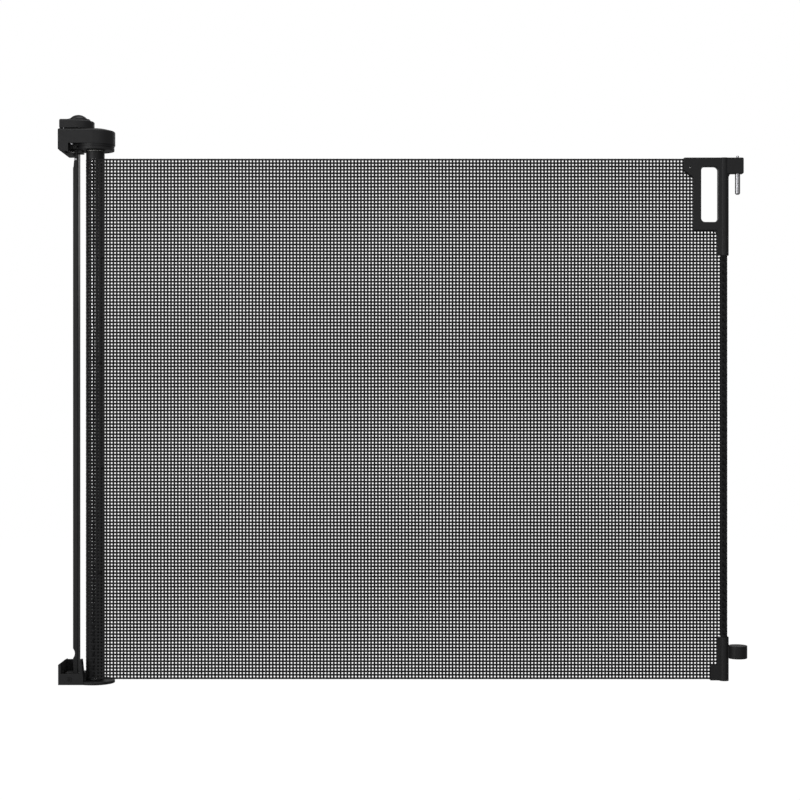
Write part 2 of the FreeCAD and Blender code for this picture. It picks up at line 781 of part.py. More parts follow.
def head_screw_places():
    """Where the four head screws stand: two beyond the ratchet, two beside the post."""
    right = f"(roller_offset + boss_ring * cos({RADIAL_SPOT}))"
    reach = f"(boss_ring * sin({RADIAL_SPOT}))"
    left = f"(post_near + 1)"
    side = "(shell_radius - shell_wall - boss_radius - 1.6)"
    return [(right, reach), (right, f"-{reach}"), (left, side), (left, f"-{side}")]


def cap_screw_places():
    """Where the four cap screws stand, round the knob."""
    ring = "(cap_radius - cap_wall - cap_boss + 2 * fit_gap)"
    right = f"({KNOB_X} + {ring} * cos(45))"
    reach = f"({ring} * sin(45))"
    left = "(cap_start + 6)"
    side = ring
    return [(right, reach), (right, f"-{reach}"), (left, side), (left, f"-{side}")]


def make_head_base():
    """The moulding under the head: it carries the roller's top bearing, the post and the pawl."""
    body = new_body("head_base")
    prism(body, "Pad", XY, circle("roller_offset", "0", "base_radius"), (BASE_LOW, SHELL_LOW))
    dressed(body, "Fillet", flat_at(BASE_LOW), Radius="base_round")
    doc.recompute()
    bridge = rectangle("skirt_wide + 0.3", "-bridge_half", "roller_offset", "bridge_half")
    prism(body, "Pad", XY, bridge, (f"{BASE_LOW} + 1", SHELL_LOW))
    block = rectangle(f"{POST_FAR} + fit_gap", "-post_half", f"{POST_FAR} + 6", "post_half")
    prism(body, "Pad", XY, block, (f"{BASE_LOW} - 4", SHELL_LOW))
    inside = "shell_radius - shell_wall - 4 * fit_gap"
    rounded_plan(body, "Pad", "skirt_wide - shell_wall + 1", "roller_offset", inside, SHELL_LOW, LID_TOP)
    middle = f"{BASE_LOW} + base_tall * 0.42"
    groove = rectangle("base_radius - base_groove", middle, "base_radius + 1", f"{middle} + 1.8")
    turned(body, "Groove", groove, centre=("roller_offset", "0"))
    bearing = circle("roller_offset", "0", "neck_radius + run_gap + bush_wall")
    prism(body, "Pocket", XY, bearing, (f"{BASE_LOW} - 1", f"{LID_TOP} + 1"))
    socket = rectangle(
        "post_near - fit_gap", "-post_half - fit_gap", f"{POST_FAR} + fit_gap", "post_half + fit_gap"
    )
    prism(body, "Pocket", XY, socket, (f"{BASE_LOW} - 5", POST_TOP))
    cross = circle("post_near + post_thick / 2", f"{BASE_LOW} + base_tall / 2", "post_screw_radius")
    prism(body, "Pocket", XZ, cross, ("-bridge_half - 1", "bridge_half + 1"))
    holes = together(*[circle(*place, "head_screw_radius") for place in head_screw_places()])
    prism(body, "Pocket", XY, holes, (f"{BASE_LOW} - 1", f"{LID_TOP} + 1"))
    sinks = [circle(*place, "head_screw_head + 3 * fit_gap") for place in head_screw_places()[:2]]
    prism(body, "Pocket", XY, together(*sinks), (f"{BASE_LOW} - 1", SHELL_LOW))
    pin_hole = circle(PAWL_X, PAWL_Y, "pawl_pin_radius")
    prism(body, "Pocket", XY, pin_hole, (f"{SHELL_LOW} - 5", f"{LID_TOP} + 1"))


def make_top_bush():
    """The flanged bush that the roller's neck turns in."""
    bush = "neck_radius + run_gap + bush_wall"
    axis = ("roller_offset", "0")
    body = rod("top_bush", *axis, f"{bush} + 2.4", f"{BASE_LOW} - bush_flange", BASE_LOW)
    prism(body, "Pad", XY, circle(*axis, bush), (BASE_LOW, SHELL_LOW))
    bore = circle(*axis, "neck_radius + run_gap")
    prism(body, "Pocket", XY, bore, (f"{BASE_LOW} - 2", f"{SHELL_LOW} + 1"))


def make_head_shell():
    """The outer cover of the head, with a skirt at the wall and a cup for the knob's spring."""
    body = new_body("head_shell")
    slope = ("shell_slope", "shell_fall", "shell_round")
    crowned_plan(body, "0", "roller_offset", "shell_radius", SHELL_LOW, SHELL_TOP, slope)
    skirt = outline(
        ("0", f"{SHELL_LOW} + 0.5"),
        ("0", f"{SHELL_LOW} - skirt_tall + skirt_bevel"),
        ("skirt_bevel", f"{SHELL_LOW} - skirt_tall"),
        ("skirt_wide", f"{SHELL_LOW} - skirt_tall"),
        ("skirt_wide", f"{SHELL_LOW} + 0.5"),
    )
    prism(body, "Pad", XZ, skirt, ("-shell_radius", "shell_radius"))
    inside = "(shell_radius - shell_wall)"
    reveal = f"({CEILING} - shell_fall)"
    near, low = "skirt_wide - shell_wall", f"{SHELL_LOW} - 1"
    rounded_plan(body, "Pocket", near, "roller_offset", inside, low, reveal)
    lane = rectangle("-1", f"-{inside}", "skirt_wide - shell_wall + 0.1", inside)
    prism(body, "Pocket", XY, lane, (f"{SHELL_LOW} - skirt_tall - 1", reveal))
    deeper = "(shell_radius - shell_slope)"
    well = rectangle("shell_wall", f"-{deeper}", "roller_offset", deeper)
    prism(body, "Pocket", XY, well, (f"{reveal} - 0.5", CEILING))
    prism(body, "Pocket", XY, circle("roller_offset", "0", deeper), (f"{reveal} - 0.5", CEILING))
    cup = circle(KNOB_X, "0", "cup_radius")
    prism(body, "Pad", XY, cup, (CUP_FLOOR, f"{CEILING} + 0.5"))
    bosses = together(*[circle(*place, "boss_radius") for place in head_screw_places()])
    prism(body, "Pad", XY, bosses, (f"{LID_TOP} + fit_gap", f"{reveal} + 0.5"))
    hollow = circle(KNOB_X, "0", "cup_radius - cup_wall")
    prism(body, "Pocket", XY, hollow, (f"{CUP_FLOOR} + cup_wall", f"{SHELL_TOP} + 1"))
    passage = circle(KNOB_X, "0", "spindle_radius + 3 * fit_gap")
    prism(body, "Pocket", XY, passage, (f"{CUP_FLOOR} - 1", f"{SHELL_TOP} + 1"))
    pilots = together(*[circle(*place, "head_screw_radius") for place in head_screw_places()])
    prism(body, "Pocket", XY, pilots, (LID_TOP, f"{SHELL_LOW} + head_screw_long + 1"))
    fixings = together(*[circle(*place, "head_screw_radius + fit_gap") for place in cap_screw_places()])
    prism(body, "Pocket", XY, fixings, (f"{reveal} - 1", f"{SHELL_TOP} + 1"))


def make_head_screws():
    """The four screws that hold the shell down on the base."""
    screws = [
        ((across, back, f"{SHELL_LOW} - head_tall"), "head_screw_head", "head_tall",
         "head_screw_radius", "head_screw_long")
        for across, back in head_screw_places()
    ]
    screw_set("head_screws", Vector(0, 0, 1), screws)


def make_lock_cap():
    """The raised cap round the knob."""
    body = new_body("lock_cap")
    slope = ("cap_slope", "cap_fall", "cap_round")
    crowned_plan(body, "cap_start", KNOB_X, "cap_radius", SHELL_TOP, CAP_TOP, slope)
    inner = "(cap_radius - cap_wall)"
    ceiling = f"({CAP_TOP} - cap_wall - cap_fall)"
    rounded_plan(body, "Pocket", "cap_start + cap_wall", KNOB_X, inner, f"{SHELL_TOP} - 1", ceiling)
    bosses = together(*[circle(*place, "cap_boss") for place in cap_screw_places()])
    prism(body, "Pad", XY, bosses, (SHELL_TOP, f"{ceiling} + 0.5"))
    pilots = together(*[circle(*place, "head_screw_radius") for place in cap_screw_places()])
    prism(body, "Pocket", XY, pilots, (f"{SHELL_TOP} - 1", f"{SHELL_TOP} + 8"))
    hole = circle(KNOB_X, "0", "knob_radius + knob_gap")
    prism(body, "Pocket", XY, hole, (f"{ceiling} - 1", f"{CAP_TOP} + 1"))


def make_cap_screws():
    """The four screws, driven up through the shell, that hold the cap."""
    reveal = f"{CEILING} - shell_fall"
    screws = [
        ((across, back, f"{reveal} - 1.8"), "head_screw_radius + 1", "1.8",
         "head_screw_radius", "shell_wall + shell_fall + 7")
        for across, back in cap_screw_places()
    ]
    screw_set("cap_screws", Vector(0, 0, 1), screws)


def make_knob():
    """The press-and-turn knob with its collar, spindle, washer and return spring."""
    centre = (KNOB_X, "0")
    inner = "(knob_radius + knob_gap)"
    rod("knob_collar", *centre, f"{inner} + ring_wide", CAP_TOP, f"{CAP_TOP} + ring_tall", inner)

    knob = new_body("lock_knob")
    curve = "((knob_radius^2 + knob_rise^2) / (2 * knob_rise))"
    crown = f"{CAP_TOP} + knob_rise"
    dome = outline(("0", KNOB_LOW), ("knob_radius", KNOB_LOW), ("knob_radius", CAP_TOP), ("0", crown),
                   bows={2: ("0", f"{crown} - {curve}", curve)})
    turned(knob, "Revolution", dome, centre=centre)
    hollow = together(
        circle(*centre, "knob_radius - cap_wall"), circle(*centre, "spindle_radius + 2")
    )
    prism(knob, "Pocket", XY, hollow, (f"{KNOB_LOW} - 1", f"{CAP_TOP} + 1.5"))
    socket = circle(*centre, "spindle_radius")
    prism(knob, "Pocket", XY, socket, (f"{KNOB_LOW} - 1", f"{CAP_TOP} + 3"))

    rod("knob_spindle", *centre, "spindle_radius", f"{CAM_LOW} - 0.2", f"{CAP_TOP} + 2.9")
    washer_top = f"{WASHER_LOW} + washer_thick"
    rod("knob_washer", *centre, "cup_radius - cup_wall - 4 * fit_gap", WASHER_LOW, washer_top,
        "spindle_radius + 3 * fit_gap")
    seat = f"{CUP_FLOOR} + cup_wall + press_coil_wire"
    top = f"{WASHER_LOW} - press_coil_wire"
    coil("knob_spring", centre, "press_coil_radius", "press_coil_wire", f"({top} - {seat}) / 4",
         f"{seat} + fit_gap", f"{top} - fit_gap")


def make_lock_cam():
    """The cam on the knob's spindle, whose nose pushes the pawl in when the knob is turned."""
    body = rod("lock_cam", KNOB_X, "0", "cam_hub", CAM_LOW, f"{CAM_LOW} + cam_thick", "spindle_radius")
    # The nose's place against the pushed-in pawl, measured along it and outwards from the spindle
    along = "(pawl_long + pawl_tail - 0.5 - pawl_long + knob_spacing * cos(catch_angle - 90))"
    outward = "(pawl_outer + cam_nose + cam_gap + pitch_radius + knob_spacing * cos(catch_angle))"
    reach = f"sqrt({along}^2 + {outward}^2)"
    resting = f"atan2({outward}; {along}) / 1deg + catch_angle - 90 - cam_turn"
    lobe = together(rectangle("spindle_radius + 1", "-cam_nose", reach, "cam_nose"))
    span = (CAM_LOW, f"{CAM_LOW} + cam_thick")
    prism(body, "Pad", XY, lobe, span, centre=(KNOB_X, "0"), turn=resting)
    prism(body, "Pad", XY, circle(reach, "0", "cam_nose"), span, centre=(KNOB_X, "0"), turn=resting)


def make_pawl():
    """The pawl, shown swung clear of the ratchet, with its pin and spring."""
    axis = (PAWL_X, PAWL_Y)
    turn = "catch_angle - 90 + pawl_swing"
    top = f"{RATCHET_LOW} + pawl_thick"
    body = rod("lock_pawl", *axis, "pawl_boss", RATCHET_LOW, top)
    arm = rectangle("0", "pawl_inner", "pawl_long + pawl_tail", "pawl_outer")
    prism(body, "Pad", XY, arm, (RATCHET_LOW, top), centre=axis, turn=turn)
    tooth = outline(
        ("pawl_long - 7", "pawl_inner + 0.5"),
        ("pawl_long - 4.5", "ratchet_root - pitch_radius + 0.9"),
        ("pawl_long - cloth_clear", "ratchet_root - pitch_radius + 0.6"),
        ("pawl_long - cloth_clear", "pawl_inner + 0.5"),
    )
    prism(body, "Pad", XY, tooth, (RATCHET_LOW, top), centre=axis, turn=turn)
    bore = circle(*axis, "pawl_pin_radius + run_gap")
    prism(body, "Pocket", XY, bore, (f"{RATCHET_LOW} - 1", f"{top} + 1"))
    rod("pawl_pin", *axis, "pawl_pin_radius", f"{SHELL_LOW} - 5", f"{top} + 3.5")
    low = f"{top} + 0.9"
    coil("pawl_spring", axis, "pawl_boss - 1.2", "cloth_thick / 2", "0.9", low, f"{low} + 1.8")


# ---------------------------------------------------------------- pull bar, handle and fitting


def make_pull_bar():
    """The rod in the cloth's free edge and the hem sewn round it."""
    axis = ("reach", CLOTH_Y)
    low, top = "leg_low + 1", "handle_top - 2"
    rod("pull_bar", *axis, "bar_radius", low, top)
    hem = rod("mesh_hem", *axis, "hem_radius", low, top, "bar_radius + fit_gap")
    edge = f"{CLOTH_END} + cloth_clear"
    inner = "reach - bar_radius - fit_gap * 4"
    flap = rectangle(edge, f"{CLOTH_Y} - cloth_thick", inner, f"{CLOTH_Y} + cloth_thick")
    prism(hem, "Pad", XY, flap, ("fitting_top + edge_gap", "handle_low - edge_gap"))


def half_span(front, half):
    """From the cloth's plane out to `half`, on the front or the rear side."""
    return (f"{CLOTH_Y} - {half}", CLOTH_Y) if front else (CLOTH_Y, f"{CLOTH_Y} + {half}")


def half_drum(body, front, centre, radius, span):
    """Adds half a drum about a vertical axis, on the front or the rear side of the cloth."""
    across, back = centre
    start = spot(f"({across}) - ({radius})", back)
    end = spot(f"({across}) + ({radius})", back)
    via = spot(across, f"({back}) - ({radius})" if front else f"({back}) + ({radius})")
    low, top = span
    sketch = new_sketch(body, XY, low)
    sketch.addGeometry(Part.Arc(start, via, end))
    sketch.addGeometry(Part.LineSegment(sketch.Geometry[0].EndPoint, sketch.Geometry[0].StartPoint))
    sketch.addConstraint(Sketcher.Constraint("Coincident", 0, 2, 1, 1))
    sketch.addConstraint(Sketcher.Constraint("Coincident", 1, 2, 0, 1))
    sketch.addConstraint(Sketcher.Constraint("Horizontal", 1))
    sketch.addConstraint(Sketcher.Constraint("PointOnObject", 0, 3, 1))
    hold(sketch, "DistanceX", -1, 1, 0, 3, text=across)
    hold(sketch, "DistanceY", -1, 1, 0, 3, text=back)
    hold(sketch, "Radius", 0, text=radius)
    made = body.newObject("PartDesign::Pad", f"{body.Label}_drum")
    made.Profile = sketch
    made.setExpression("Length", bound(f"({top}) - ({low})"))
    doc.recompute()
    return made


def web(across, up, radius, side):
    """Draws the filled corner between a column's edge and the arm above it, with a round bite."""
    outer, low = f"({across} + {side} * {radius})", f"({up} - {radius})"
    root, high = f"({across} - {side} * column_radius / 2)", f"({up} + 1)"
    corners = [(across, low), (outer, up), (outer, high), (root, high), (root, low)]
    return outline(*corners, bows={0: (outer, low, radius)})


def handle_screw_places():
    """Where the handle's clamp screws stand in the front view."""
    left = "(grip_left + slot_left) / 2"
    return [
        (left, "slot_low + 14"),
        ("(slot_left + 6)", "(slot_top + handle_top) / 2"),
        ("(slot_right - 9)", "(grip_low + slot_low) / 2"),
        ("(reach + column_radius + 4)", "(hook_low + handle_top) / 2"),
    ]


def make_handle():
    """The two halves of the grip, clamped round the bar, with the arm that carries the hook pin."""
    plate = outline(
        ("ear_left", "handle_top"),
        ("ear_left", "ear_low"),
        ("grip_left", "ear_foot"),
        ("grip_left", "grip_low"),
        ("flange_left", "grip_low"),
        ("flange_left", "handle_low"),
        ("reach", "handle_low"),
        ("reach", "hook_low"),
        ("hook_right", "hook_low"),
        ("hook_right", "handle_top"),
    )
    for label, front in (("handle_front", True), ("handle_rear", False)):
        body = new_body(label)
        prism(body, "Pad", XZ, plate, half_span(front, "handle_half"))
        reach_y = (f"{CLOTH_Y} - column_radius - 1", f"{CLOTH_Y} + column_radius + 1")
        slot = rectangle("slot_left", "slot_low", "slot_right", "slot_top")
        prism(body, "Pocket", XZ, slot, reach_y)
        corners = across_y(
            ("slot_left", "slot_low"), ("slot_left", "slot_top"),
            ("slot_right", "slot_low"), ("slot_right", "slot_top"),
        )
        dressed(body, "Fillet", corners, Radius="slot_round")
        doc.recompute()
        outer = across_y(
            ("ear_left", "handle_top"), ("ear_left", "ear_low"), ("grip_left", "ear_foot"),
            ("grip_left", "grip_low"), ("hook_right", "hook_low"), ("hook_right", "handle_top"),
        )
        dressed(body, "Fillet", outer, Radius="ear_round")
        doc.recompute()
        face = size(f"{CLOTH_Y} - handle_half" if front else f"{CLOTH_Y} + handle_half")
        dressed(body, "Fillet", lambda box: box.YLength < 0.01 and abs(box.YMin - face) < 0.01,
                Radius="handle_round")
        doc.recompute()
        half_drum(body, front, ("reach", CLOTH_Y), "column_radius", ("handle_low", "handle_top"))
        under_arm = web("reach + column_radius", "hook_low", "hook_fillet", "1")
        prism(body, "Pad", XZ, under_arm, half_span(front, "(handle_half - handle_round)"))
        under_grip = web("flange_left", "grip_low", "grip_fillet", "-1")
        prism(body, "Pad", XZ, under_grip, half_span(front, "(handle_half - handle_round)"))
        bore = circle("reach", CLOTH_Y, "bore_radius")
        prism(body, "Pocket", XY, bore, ("handle_low - 1", "handle_top - 1.5"))
        pin = ("pin_across", CLOTH_Y)
        root = circle(*pin, "pin_radius - pin_step")
        prism(body, "Pocket", XY, root, ("hook_low - 1", "handle_top - 3"))
        collar = circle(*pin, "pin_collar + fit_gap")
        prism(body, "Pocket", XY, collar, ("hook_low + 7", "hook_low + 11"))
        tip = circle(*pin, "tip_radius + fit_gap")
        prism(body, "Pocket", XY, tip, ("handle_top - 4", "handle_top + 1"))
        lanyard = circle("ear_left + 10.2", "handle_top - 14.6", "lanyard_radius")
        prism(body, "Pocket", XZ, lanyard, reach_y)
        add_screw_holes(body, front, handle_screw_places(), "handle_half")


def add_screw_holes(body, front, places, plate_half):
    """Pilot holes in a front half, through holes with sunk heads in a rear half."""
    holes = together(*[circle(*place, "clamp_screw_radius") for place in places])
    if front:
        prism(body, "Pocket", XZ, holes, (f"{CLOTH_Y} - {plate_half} + 1.5", CLOTH_Y))
        return
    prism(body, "Pocket", XZ, holes, (CLOTH_Y, f"{CLOTH_Y} + {plate_half} + 1"))
    heads = together(*[circle(*place, "clamp_screw_head + 2 * fit_gap") for place in places])
    prism(body, "Pocket", XZ, heads, (f"{CLOTH_Y} + {plate_half} - 2", f"{CLOTH_Y} + {plate_half} + 1"))


def clamp_screws(label, places, plate_half):
    """The screws, driven from behind, that pull two halves together."""
    screws = [
        ((across, f"{CLOTH_Y} + {plate_half} - 0.2", up), "clamp_screw_head", "1.8",
         "clamp_screw_radius", f"2 * {plate_half} - 4")
        for across, up in places
    ]
    screw_set(label, Vector(0, -1, 0), screws)


def make_hook_pin():
    """The steel pin under the hook arm, with a collar in the arm and a thin tip above it."""
    body = new_body("hook_pin")
    profile = outline(
        ("0", "pin_low"),
        ("pin_radius - pin_round", "pin_low"),
        ("pin_radius", "pin_low + pin_round"),
        ("pin_radius", "hook_low - fit_gap"),
        ("pin_radius - pin_step", "hook_low - fit_gap"),
        ("pin_radius - pin_step", "hook_low + 7 + fit_gap"),
        ("pin_collar", "hook_low + 7 + fit_gap"),
        ("pin_collar", "hook_low + 11 - fit_gap"),
        ("pin_radius - pin_step", "hook_low + 11 - fit_gap"),
        ("pin_radius - pin_step", "handle_top - 3 - fit_gap"),
        ("tip_radius", "handle_top - 3 - fit_gap"),
        ("tip_radius", "tip_top - 0.8"),
        ("tip_radius - 0.8", "tip_top"),
        ("0", "tip_top"),
    )
    turned(body, "Revolution", profile, centre=("pin_across", CLOTH_Y))


def fitting_screw_places():
    """Where the lower fitting's clamp screws stand in the front view."""
    return [("leg_left + 5.5", "(leg_low + leg_top) / 2"), ("pin_across", "lug_low + lug_tall / 2")]


def make_lower_fitting():
    """The two halves clamped on the bar's lower end, with a toe and the round catch lug."""
    plate = rectangle("leg_left", "leg_low", "reach", "leg_top")
    lug_span = ("lug_low", "lug_low + lug_tall")
    ends = [size(level) for level in lug_span]
    for label, front in (("lower_fitting_front", True), ("lower_fitting_rear", False)):
        body = new_body(label)
        half_drum(body, front, ("pin_across", CLOTH_Y), "lug_radius", lug_span)
        rims = lambda box: box.ZLength < 0.01 and box.YLength > 1 and round(box.ZMin, 3) in ends
        dressed(body, "Fillet", rims, Radius="lug_round")
        doc.recompute()
        half_drum(body, front, ("reach", CLOTH_Y), "column_radius", ("fitting_low", "fitting_top"))
        prism(body, "Pad", XZ, plate, half_span(front, "leg_half"))
        flange = rectangle("flange_left", "leg_top - 1", "reach", "fitting_top")
        prism(body, "Pad", XZ, flange, half_span(front, "leg_half"))
        neck = rectangle("reach", "lug_low + 1", "pin_across", "lug_low + lug_tall - 1")
        prism(body, "Pad", XZ, neck, half_span(front, "leg_half"))
        bore = circle("reach", CLOTH_Y, "bore_radius")
        prism(body, "Pocket", XY, bore, ("leg_low + 1", "fitting_top + 1"))
        add_screw_holes(body, front, fitting_screw_places()[:1], "leg_half")
        add_screw_holes(body, front, fitting_screw_places()[1:], "lug_radius")


def make_clamp_screws():
    """The screws of the handle and of the lower fitting."""
    clamp_screws("handle_screws", handle_screw_places(), "handle_half")
    toe, lug = fitting_screw_places()
    solids = []
    for place, half in ((toe, "leg_half"), (lug, "lug_radius")):
        across, up = place
        solids.append(
            ((across, f"{CLOTH_Y} + {half} - 0.2", up), "clamp_screw_head", "1.8",
             "clamp_screw_radius", f"2 * {half} - 4")
        )
    screw_set("fitting_screws", Vector(0, -1, 0), solids)


def make_mesh_panels():
    """The drawn-out cloth as upright strips, so that it can follow the pull bar as it winds in."""
    low, top = "cloth_low", CLOTH_TOP
    back = (f"{CLOTH_Y} - cloth_thick / 2", f"{CLOTH_Y} + cloth_thick / 2")
    for step in range(PANELS):
        body = new_body(f"mesh_panel_{step + 1:02d}")
        left = f"({CLOTH_START} + {step} * {PANEL_WIDE})"
        right = f"({left} + {PANEL_WIDE})"
        prism(body, "Pad", XZ, rectangle(left, low, right, top), back)
    clearing = outline(
        ("ear_left - edge_gap", f"{top} + 1"),
        ("ear_left - edge_gap", "ear_low - edge_gap"),
        ("grip_left - edge_gap", "ear_foot - edge_gap"),
        ("grip_left - edge_gap", "grip_low - edge_gap"),
        ("reach", "grip_low - edge_gap"),
        ("reach", f"{top} + 1"),
    )
    beyond = (f"{CLOTH_Y} - cloth_thick", f"{CLOTH_Y} + cloth_thick")
    prism(body, "Pocket", XZ, clearing, beyond)
    corner = rectangle(
        "flange_left - grip_fillet - edge_gap", "grip_low - grip_fillet - edge_gap", "reach", "grip_low"
    )
    prism(body, "Pocket", XZ, corner, beyond)
    toe = rectangle("leg_left - edge_gap", "cloth_low - 1", "reach", "leg_top + edge_gap")
    prism(body, "Pocket", XZ, toe, beyond)


make_lower_wall_bracket()
make_bracket_lock_screw()
make_upper_wall_bracket()
make_back_post()
make_hook_peg()
make_post_screws()
make_foot_plate()
make_wind_up_spring()
make_roller()
make_ratchet_wheel()
make_ratchet_screw()
make_head_base()
make_top_bush()
make_head_shell()
make_head_screws()
make_lock_cap()
make_cap_screws()
make_knob()
make_lock_cam()
make_pawl()
make_pull_bar()
make_handle()
make_hook_pin()
make_lower_fitting()
make_clamp_screws()
make_mesh_panels()
doc.recompute()

for item in doc.Objects:
    if {"Invalid", "Error"} & set(item.State):
        raise ValueError(f"{item.Label} failed to build: {item.State}")
for piece in sub_parts:
    if piece.Shape.isNull() or not piece.Shape.isValid() or piece.Shape.Volume <= 0:
        raise ValueError(f"{piece.Label} is not a valid solid")

os.makedirs("parts", exist_ok=True)
for piece in sub_parts:
    piece.Shape.exportStep(f"parts/{piece.Label}.step")
print(f"{len(sub_parts)} sub-parts written")
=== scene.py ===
"""Looks of a retractable mesh pet gate, built around its fixed frame.

X runs across the doorway from the wall, Y away from the side the cloth is on and Z up, in metres.
The net is woven yarn by yarn, wound on its roller and sewn round the pull bar; the mouldings,
the post and the metal parts keep their designed shapes and get their finishes here.
"""

from __future__ import annotations

import json
import logging
import math
from dataclasses import dataclass, field
from enum import Enum
from typing import Any, Callable, Sequence

import bpy
import numpy as np
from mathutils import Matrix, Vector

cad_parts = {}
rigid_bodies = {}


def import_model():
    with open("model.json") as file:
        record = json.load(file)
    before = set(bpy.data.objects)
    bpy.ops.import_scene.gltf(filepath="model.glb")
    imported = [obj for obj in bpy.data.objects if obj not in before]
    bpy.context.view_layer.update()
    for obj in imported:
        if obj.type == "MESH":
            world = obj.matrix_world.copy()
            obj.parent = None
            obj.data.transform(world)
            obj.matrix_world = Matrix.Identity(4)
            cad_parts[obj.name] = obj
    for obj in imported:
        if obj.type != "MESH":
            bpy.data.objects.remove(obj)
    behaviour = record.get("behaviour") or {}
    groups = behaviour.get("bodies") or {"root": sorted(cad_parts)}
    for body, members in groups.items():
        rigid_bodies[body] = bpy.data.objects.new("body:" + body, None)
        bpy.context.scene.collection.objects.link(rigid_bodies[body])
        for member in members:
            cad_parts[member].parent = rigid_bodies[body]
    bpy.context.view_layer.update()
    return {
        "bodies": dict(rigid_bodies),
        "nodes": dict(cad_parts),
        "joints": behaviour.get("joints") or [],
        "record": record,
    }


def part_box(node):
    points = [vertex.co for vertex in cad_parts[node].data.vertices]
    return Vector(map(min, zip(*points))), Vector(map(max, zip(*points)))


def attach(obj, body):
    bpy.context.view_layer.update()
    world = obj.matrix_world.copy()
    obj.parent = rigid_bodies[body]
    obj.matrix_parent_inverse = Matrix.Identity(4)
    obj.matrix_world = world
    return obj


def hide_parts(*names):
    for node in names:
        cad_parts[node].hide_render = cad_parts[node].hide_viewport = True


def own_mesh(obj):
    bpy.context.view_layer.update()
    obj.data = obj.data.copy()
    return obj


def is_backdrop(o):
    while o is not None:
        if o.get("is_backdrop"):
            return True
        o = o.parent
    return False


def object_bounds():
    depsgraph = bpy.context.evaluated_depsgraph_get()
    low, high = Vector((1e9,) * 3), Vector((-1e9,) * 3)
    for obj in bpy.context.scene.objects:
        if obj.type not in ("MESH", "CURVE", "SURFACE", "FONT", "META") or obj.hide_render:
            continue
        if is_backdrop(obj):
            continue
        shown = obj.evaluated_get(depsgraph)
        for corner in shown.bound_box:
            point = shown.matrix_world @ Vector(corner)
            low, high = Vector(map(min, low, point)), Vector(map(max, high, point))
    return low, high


LOG = logging.getLogger("pet_gate")
SLIDE = "pull_bar_slide"
Test = Callable[[np.ndarray, np.ndarray], np.ndarray]
FRAME_BODY, ROLLER_BODY, BAR_BODY = "frame", "roller", "pull_bar_set"


# ------------------------------------------------------------------------- shader expressions


@dataclass(frozen=True)
class Channel:
    """A number that varies over a surface; sums and products of it add Math nodes."""

    tree: bpy.types.NodeTree
    socket: bpy.types.NodeSocket

    def _math(self, operation: str, first: Any, second: Any) -> Channel:
        """Adds one Math node.

        Args:
            operation: The node's operation.
            first: Its first value or channel.
            second: Its second value or channel.

        Returns:
            The node's result.
        """
        node = self.tree.nodes.new("ShaderNodeMath")
        node.operation = operation
        for slot, value in zip(node.inputs, (first, second)):
            if isinstance(value, Channel):
                self.tree.links.new(value.socket, slot)
            else:
                slot.default_value = float(value)
        return Channel(self.tree, node.outputs[0])

    def __add__(self, other: Any) -> Channel:
        """This channel plus another or a number."""
        return self._math("ADD", self, other)

    def __radd__(self, other: Any) -> Channel:
        """A number plus this channel."""
        return self._math("ADD", other, self)

    def __sub__(self, other: Any) -> Channel:
        """This channel minus another or a number."""
        return self._math("SUBTRACT", self, other)

    def __rsub__(self, other: Any) -> Channel:
        """A number minus this channel."""
        return self._math("SUBTRACT", other, self)

    def __mul__(self, other: Any) -> Channel:
        """This channel times another or a number."""
        return self._math("MULTIPLY", self, other)

    def __rmul__(self, other: Any) -> Channel:
        """A number times this channel."""
        return self._math("MULTIPLY", other, self)


